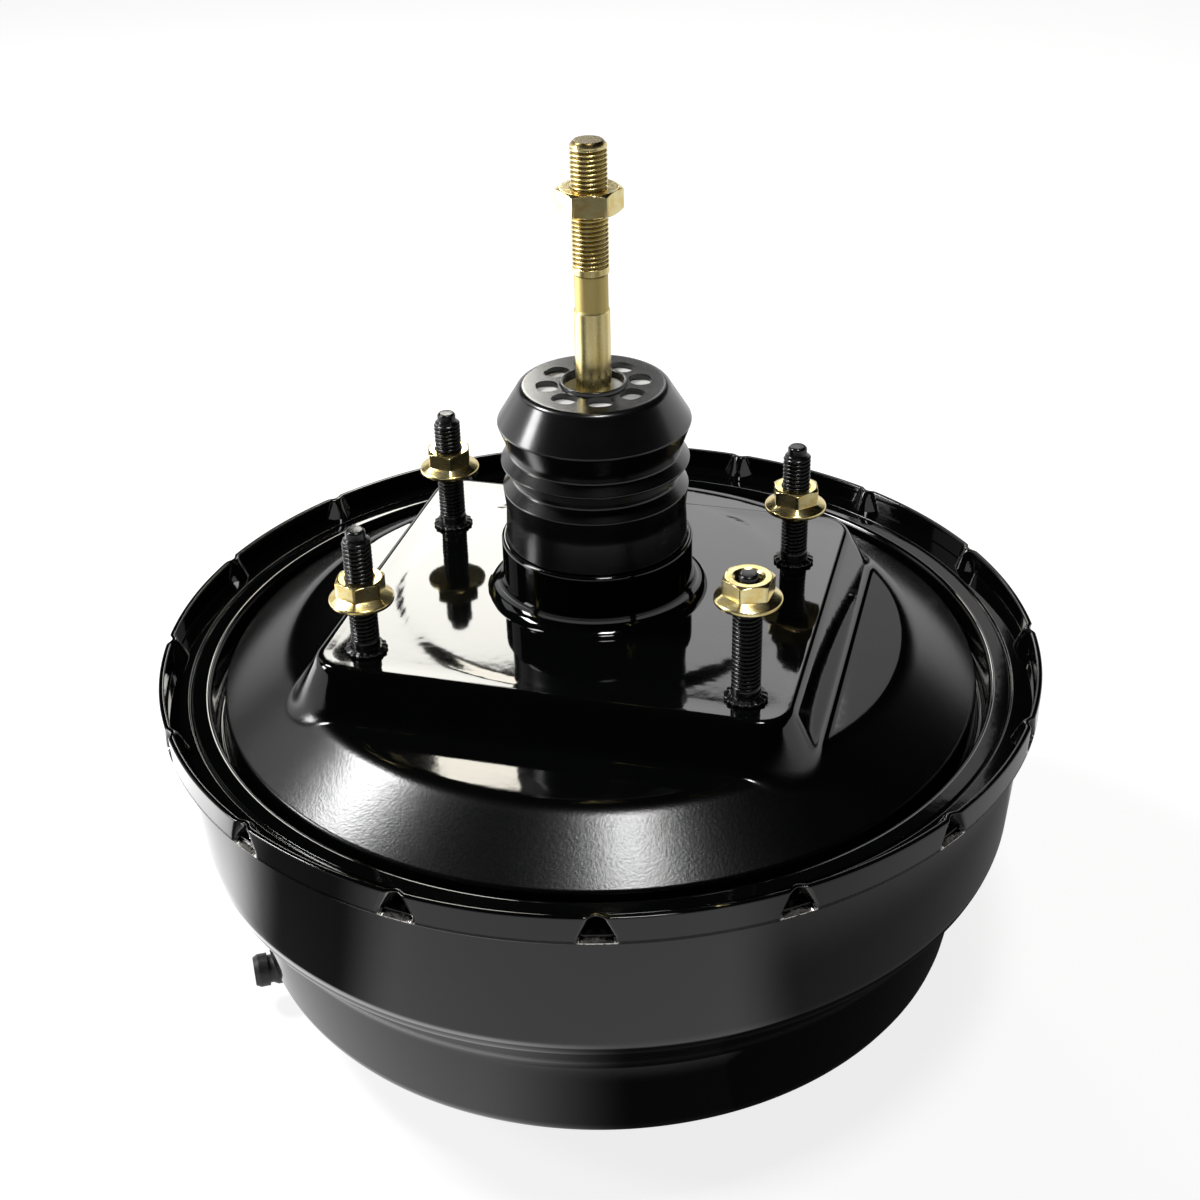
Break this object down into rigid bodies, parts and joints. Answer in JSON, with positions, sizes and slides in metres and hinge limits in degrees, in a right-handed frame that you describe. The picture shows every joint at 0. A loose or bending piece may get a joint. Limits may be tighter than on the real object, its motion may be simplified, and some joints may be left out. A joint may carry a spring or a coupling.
{
  "type": "brake booster",
  "caption": "Single-diaphragm vacuum brake booster with a crimped steel shell, firewall studs, rubber boot, input rod with locknut and a vacuum check valve.",
  "frame": {"origin": "on the booster's axis, in the face that carries the master cylinder", "axes": "+Z along the axis towards the brake pedal, +X along the long side of the firewall pad, +Y towards the pad's side with the wider margin beside its studs"},
  "size_m": [0.26, 0.26, 0.267],
  "materials": {
    "black_enamel": "gloss",
    "plain_steel": "satin",
    "spring_steel": "satin",
    "dark_steel": "satin",
    "yellow_zinc": "satin",
    "black_rubber": "matt",
    "boot_rubber": "matt",
    "black_plastic": "matt",
    "white_felt": "matt",
    "grey_foam": "matt"
  },
  "bodies": {
    "housing": {"front_shell": "black_enamel", "rear_shell": "black_enamel", "front_reinforcement_plate": "plain_steel", "rear_reinforcement_plate": "plain_steel", "master_cylinder_studs": "dark_steel", "firewall_studs": "dark_steel", "firewall_nuts": "yellow_zinc", "neck_guide_bush": "black_plastic", "neck_seal": "black_rubber", "master_cylinder_seal": "black_rubber", "check_valve_grommet": "black_rubber", "check_valve_body": "black_plastic", "check_valve_spring": "spring_steel", "boot": "boot_rubber", "diaphragm": "black_rubber", "return_spring": "spring_steel"},
    "power_piston": {"diaphragm_plate": "plain_steel", "valve_body": "black_plastic", "stop_key": "plain_steel", "reaction_disc": "black_rubber", "output_rod": "plain_steel", "output_rod_adjuster": "plain_steel", "output_rod_cap": "plain_steel", "control_valve": "black_rubber", "control_valve_cage": "plain_steel", "control_valve_spring": "spring_steel", "input_rod_spring": "spring_steel", "air_filter": "white_felt", "air_silencer": "grey_foam"},
    "plunger": {"valve_plunger": "plain_steel"},
    "input_rod": {"input_rod": "yellow_zinc", "input_rod_locknut": "yellow_zinc"},
    "check_disc": {"check_valve_disc": "black_rubber"}
  },
  "joints": [
    {"name": "piston_stroke", "type": "slide", "parent": "housing", "child": "power_piston", "axis": [0, 0, -1], "range_m": [0, 0.03], "stiffness_N_per_m": 3000, "springref_m": -0.033, "deforming": ["boot", "diaphragm", "return_spring"]},
    {"name": "plunger_travel", "type": "slide", "parent": "power_piston", "child": "plunger", "axis": [0, 0, -1], "range_m": [0, 0.0015], "stiffness_N_per_m": 1500, "springref_m": -0.008, "deforming": ["input_rod_spring"]},
    {"name": "rod_tilt", "type": "hinge", "parent": "plunger", "child": "input_rod", "pos_m": [0, 0, 0.097], "axis": [1, 0, 0], "range_deg": [-2.5, 2.5], "stiffness_Nm_per_rad": 1},
    {"name": "check_valve_lift", "type": "slide", "parent": "housing", "child": "check_disc", "axis": [0, 0, -1], "range_m": [0, 0.0015], "stiffness_N_per_m": 20, "springref_m": -0.003, "deforming": ["check_valve_spring"]}
  ]
}
